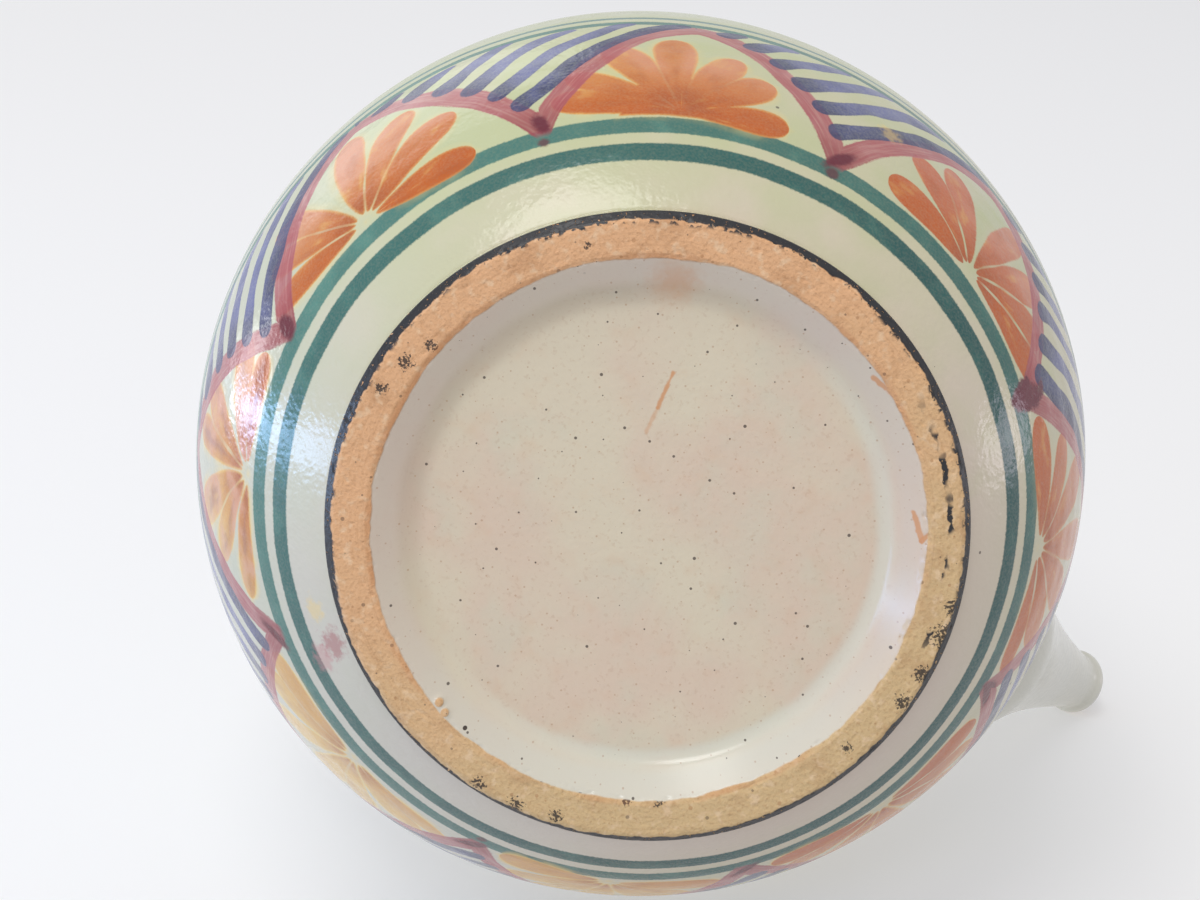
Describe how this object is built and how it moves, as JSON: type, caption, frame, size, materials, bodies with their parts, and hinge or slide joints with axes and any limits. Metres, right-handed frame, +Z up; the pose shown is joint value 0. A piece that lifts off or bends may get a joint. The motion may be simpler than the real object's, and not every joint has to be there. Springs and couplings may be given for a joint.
{
  "type": "terracotta jug",
  "caption": "Globular tin-glazed terracotta jug on a turned foot ring, with a flared neck, a side trumpet spout for pouring and a strap handle opposite it.",
  "frame": {"origin": "centre of the foot ring's resting face", "axes": "+Z up along the thrown axis of the body, +X towards the spout, handle on -X"},
  "size_m": [0.2391, 0.19, 0.2117],
  "materials": {
    "bare_clay": "unglazed fired earthenware, turned and worn",
    "painted_glaze": "glossy tin glaze with brushed colours",
    "plain_glaze": "glossy plain tin glaze"
  },
  "bodies": {
    "root": {"foot_ring": "bare_clay", "body": "painted_glaze", "neck": "plain_glaze", "neck_coil": "plain_glaze", "spout": "plain_glaze", "spout_coil": "plain_glaze", "handle": "plain_glaze", "handle_top_coil": "plain_glaze", "handle_low_coil": "plain_glaze"}
  },
  "joints": []
}
